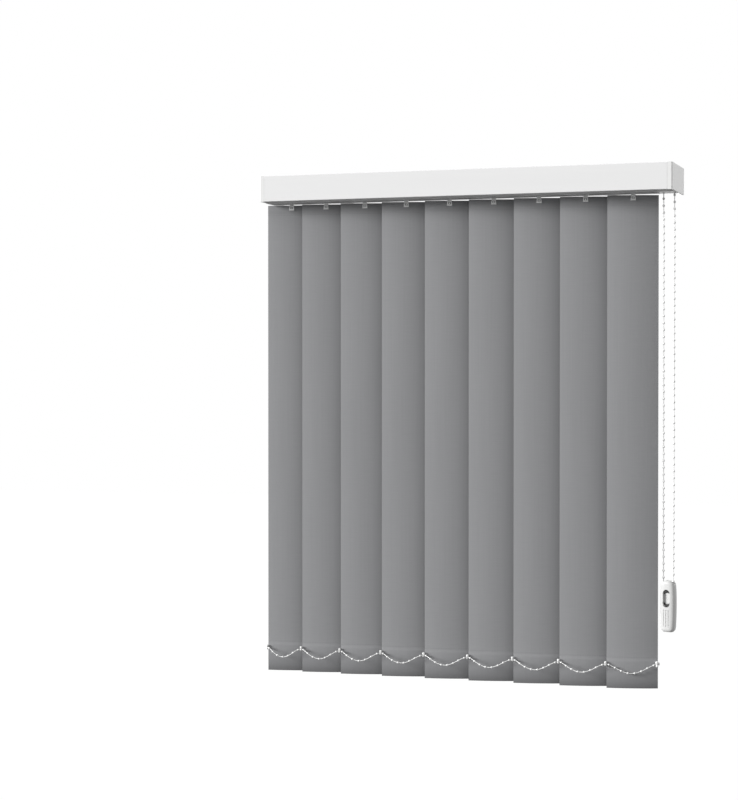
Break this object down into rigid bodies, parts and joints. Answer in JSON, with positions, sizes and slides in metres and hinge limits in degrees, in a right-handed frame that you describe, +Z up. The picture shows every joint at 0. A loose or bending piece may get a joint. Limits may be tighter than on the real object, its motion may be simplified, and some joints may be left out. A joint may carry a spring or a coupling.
{
  "type": "vertical blind",
  "caption": "Vertical blind: grey fabric vanes on carriers in a headrail behind a white valance, with a bead chain that tilts them and small chains along their lower edge.",
  "frame": {"origin": "centre of the four wall screw holes, on the wall plane", "axes": "+X along the rail towards the control chain, +Y into the wall, +Z up"},
  "size_m": [0.7602, 0.119, 0.911],
  "materials": {
    "valance_white": "satin white coat",
    "moulded_white": "satin moulding",
    "rail_white": "satin white coat",
    "bracket_steel": "white coat",
    "rod_aluminium": "drawn",
    "carrier_plastic": "moulded",
    "hook_plastic": "moulded",
    "vane_cloth": "plain grey weave",
    "plate_steel": "coated",
    "chain_white": "glossy beads"
  },
  "bodies": {
    "rail_unit": {"headrail": "rail_white", "valance_front": "valance_white", "valance_end_left": "moulded_white", "valance_end_right": "moulded_white", "valance_clips": "moulded_white", "end_cap_left": "moulded_white", "control_housing": "moulded_white", "bracket_left": "bracket_steel", "bracket_right": "bracket_steel", "control_chain": "chain_white", "chain_weight": "moulded_white", "carrier_1": "carrier_plastic"},
    "rod": {"tilt_rod": "rod_aluminium"},
    "wheel": {"chain_wheel": "moulded_white"},
    "pulley": {"weight_pulley": "moulded_white"},
    "carriage_2": {"carrier_2": "carrier_plastic"},
    "carriage_3": {"carrier_3": "carrier_plastic"},
    "carriage_4": {"carrier_4": "carrier_plastic"},
    "carriage_5": {"carrier_5": "carrier_plastic"},
    "carriage_6": {"carrier_6": "carrier_plastic"},
    "carriage_7": {"carrier_7": "carrier_plastic"},
    "carriage_8": {"carrier_8": "carrier_plastic"},
    "carriage_9": {"carrier_9": "carrier_plastic"},
    "vane_unit_1": {"hook_1": "hook_plastic", "vane_1": "vane_cloth", "bottom_weight_1": "plate_steel"},
    "vane_unit_2": {"hook_2": "hook_plastic", "vane_2": "vane_cloth", "bottom_weight_2": "plate_steel"},
    "vane_unit_3": {"hook_3": "hook_plastic", "vane_3": "vane_cloth", "bottom_weight_3": "plate_steel"},
    "vane_unit_4": {"hook_4": "hook_plastic", "vane_4": "vane_cloth", "bottom_weight_4": "plate_steel"},
    "vane_unit_5": {"hook_5": "hook_plastic", "vane_5": "vane_cloth", "bottom_weight_5": "plate_steel"},
    "vane_unit_6": {"hook_6": "hook_plastic", "vane_6": "vane_cloth", "bottom_weight_6": "plate_steel"},
    "vane_unit_7": {"hook_7": "hook_plastic", "vane_7": "vane_cloth", "bottom_weight_7": "plate_steel"},
    "vane_unit_8": {"hook_8": "hook_plastic", "vane_8": "vane_cloth", "bottom_weight_8": "plate_steel"},
    "vane_unit_9": {"hook_9": "hook_plastic", "vane_9": "vane_cloth", "bottom_weight_9": "plate_steel", "bottom_chain_9": "chain_white"},
    "chain_span_1": {"bottom_chain_1": "chain_white"},
    "chain_span_2": {"bottom_chain_2": "chain_white"},
    "chain_span_3": {"bottom_chain_3": "chain_white"},
    "chain_span_4": {"bottom_chain_4": "chain_white"},
    "chain_span_5": {"bottom_chain_5": "chain_white"},
    "chain_span_6": {"bottom_chain_6": "chain_white"},
    "chain_span_7": {"bottom_chain_7": "chain_white"},
    "chain_span_8": {"bottom_chain_8": "chain_white"}
  },
  "joints": [
    {"name": "traverse", "type": "slide", "parent": "rail_unit", "child": "carriage_9", "axis": [-1, 0, 0], "range_m": [0, 0.48405], "deforming": ["bottom_chain_1", "bottom_chain_2", "bottom_chain_3", "bottom_chain_4", "bottom_chain_5", "bottom_chain_6", "bottom_chain_7", "bottom_chain_8"]},
    {"name": "traverse_2", "type": "slide", "parent": "rail_unit", "child": "carriage_2", "axis": [-1, 0, 0], "range_m": [0, 0.04846]},
    {"name": "traverse_3", "type": "slide", "parent": "rail_unit", "child": "carriage_3", "axis": [-1, 0, 0], "range_m": [0, 0.10482]},
    {"name": "traverse_4", "type": "slide", "parent": "rail_unit", "child": "carriage_4", "axis": [-1, 0, 0], "range_m": [0, 0.16497]},
    {"name": "traverse_5", "type": "slide", "parent": "rail_unit", "child": "carriage_5", "axis": [-1, 0, 0], "range_m": [0, 0.22747]},
    {"name": "traverse_6", "type": "slide", "parent": "rail_unit", "child": "carriage_6", "axis": [-1, 0, 0], "range_m": [0, 0.29057]},
    {"name": "traverse_7", "type": "slide", "parent": "rail_unit", "child": "carriage_7", "axis": [-1, 0, 0], "range_m": [0, 0.35434]},
    {"name": "traverse_8", "type": "slide", "parent": "rail_unit", "child": "carriage_8", "axis": [-1, 0, 0], "range_m": [0, 0.41895]},
    {"name": "tilt", "type": "hinge", "parent": "rail_unit", "child": "vane_unit_1", "pos_m": [-0.33375, -0.071, -0.0233], "axis": [0, 0, 1], "range_deg": [0, 150], "deforming": ["control_chain"]},
    {"name": "tilt_2", "type": "hinge", "parent": "carriage_2", "child": "vane_unit_2", "pos_m": [-0.26639, -0.071, -0.0233], "axis": [0, 0, 1], "range_deg": [0, 150]},
    {"name": "tilt_3", "type": "hinge", "parent": "carriage_3", "child": "vane_unit_3", "pos_m": [-0.19103, -0.071, -0.0233], "axis": [0, 0, 1], "range_deg": [0, 150]},
    {"name": "tilt_4", "type": "hinge", "parent": "carriage_4", "child": "vane_unit_4", "pos_m": [-0.11188, -0.071, -0.0233], "axis": [0, 0, 1], "range_deg": [0, 150]},
    {"name": "tilt_5", "type": "hinge", "parent": "carriage_5", "child": "vane_unit_5", "pos_m": [-0.03037, -0.071, -0.0233], "axis": [0, 0, 1], "range_deg": [0, 150]},
    {"name": "tilt_6", "type": "hinge", "parent": "carriage_6", "child": "vane_unit_6", "pos_m": [0.05172, -0.071, -0.0233], "axis": [0, 0, 1], "range_deg": [0, 150]},
    {"name": "tilt_7", "type": "hinge", "parent": "carriage_7", "child": "vane_unit_7", "pos_m": [0.13449, -0.071, -0.0233], "axis": [0, 0, 1], "range_deg": [0, 150]},
    {"name": "tilt_8", "type": "hinge", "parent": "carriage_8", "child": "vane_unit_8", "pos_m": [0.2181, -0.071, -0.0233], "axis": [0, 0, 1], "range_deg": [0, 150]},
    {"name": "tilt_9", "type": "hinge", "parent": "carriage_9", "child": "vane_unit_9", "pos_m": [0.3023, -0.071, -0.0233], "axis": [0, 0, 1], "range_deg": [0, 150]},
    {"name": "rod_turn", "type": "hinge", "parent": "rail_unit", "child": "rod", "pos_m": [0, -0.0636, -0.0046], "axis": [1, 0, 0], "range_deg": [0, 720]},
    {"name": "wheel_turn", "type": "hinge", "parent": "rail_unit", "child": "wheel", "pos_m": [0.3623, -0.0538, -0.0046], "axis": [0, 1, 0], "range_deg": [0, 720]},
    {"name": "pulley_turn", "type": "hinge", "parent": "rail_unit", "child": "pulley", "pos_m": [0.3623, -0.0538, -0.7246], "axis": [0.309, 0.9511, 0], "range_deg": [0, 720]},
    {"name": "span_turn_1", "type": "hinge", "parent": "vane_unit_1", "child": "chain_span_1", "pos_m": [-0.37887, -0.08225, -0.8399], "axis": [0, 0, 1], "range_deg": [-150, 0]},
    {"name": "span_turn_2", "type": "hinge", "parent": "vane_unit_2", "child": "chain_span_2", "pos_m": [-0.31151, -0.08225, -0.8399], "axis": [0, 0, 1], "range_deg": [-150, 0]},
    {"name": "span_turn_3", "type": "hinge", "parent": "vane_unit_3", "child": "chain_span_3", "pos_m": [-0.23615, -0.08225, -0.8399], "axis": [0, 0, 1], "range_deg": [-150, 0]},
    {"name": "span_turn_4", "type": "hinge", "parent": "vane_unit_4", "child": "chain_span_4", "pos_m": [-0.157, -0.08225, -0.8399], "axis": [0, 0, 1], "range_deg": [-150, 0]},
    {"name": "span_turn_5", "type": "hinge", "parent": "vane_unit_5", "child": "chain_span_5", "pos_m": [-0.07549, -0.08225, -0.8399], "axis": [0, 0, 1], "range_deg": [-150, 0]},
    {"name": "span_turn_6", "type": "hinge", "parent": "vane_unit_6", "child": "chain_span_6", "pos_m": [0.0066, -0.08225, -0.8399], "axis": [0, 0, 1], "range_deg": [-150, 0]},
    {"name": "span_turn_7", "type": "hinge", "parent": "vane_unit_7", "child": "chain_span_7", "pos_m": [0.08937, -0.08225, -0.8399], "axis": [0, 0, 1], "range_deg": [-150, 0]},
    {"name": "span_turn_8", "type": "hinge", "parent": "vane_unit_8", "child": "chain_span_8", "pos_m": [0.17298, -0.08225, -0.8399], "axis": [0, 0, 1], "range_deg": [-150, 0]}
  ],
  "couplings": [
    {"joint": "traverse_2", "follows": "traverse", "ratio": 0.099908},
    {"joint": "traverse_3", "follows": "traverse", "ratio": 0.21634},
    {"joint": "traverse_4", "follows": "traverse", "ratio": 0.3406},
    {"joint": "traverse_5", "follows": "traverse", "ratio": 0.46973},
    {"joint": "traverse_6", "follows": "traverse", "ratio": 0.60008},
    {"joint": "traverse_7", "follows": "traverse", "ratio": 0.73182},
    {"joint": "traverse_8", "follows": "traverse", "ratio": 0.8653},
    {"joint": "tilt_2", "follows": "tilt", "ratio": 1},
    {"joint": "tilt_3", "follows": "tilt", "ratio": 1},
    {"joint": "tilt_4", "follows": "tilt", "ratio": 1},
    {"joint": "tilt_5", "follows": "tilt", "ratio": 1},
    {"joint": "tilt_6", "follows": "tilt", "ratio": 1},
    {"joint": "tilt_7", "follows": "tilt", "ratio": 1},
    {"joint": "tilt_8", "follows": "tilt", "ratio": 1},
    {"joint": "tilt_9", "follows": "tilt", "ratio": 1},
    {"joint": "rod_turn", "follows": "tilt", "ratio": 4.8},
    {"joint": "wheel_turn", "follows": "tilt", "ratio": 4.8},
    {"joint": "pulley_turn", "follows": "tilt", "ratio": 4.8},
    {"joint": "span_turn_1", "follows": "tilt", "ratio": -1},
    {"joint": "span_turn_2", "follows": "tilt", "ratio": -1},
    {"joint": "span_turn_3", "follows": "tilt", "ratio": -1},
    {"joint": "span_turn_4", "follows": "tilt", "ratio": -1},
    {"joint": "span_turn_5", "follows": "tilt", "ratio": -1},
    {"joint": "span_turn_6", "follows": "tilt", "ratio": -1},
    {"joint": "span_turn_7", "follows": "tilt", "ratio": -1},
    {"joint": "span_turn_8", "follows": "tilt", "ratio": -1}
  ]
}
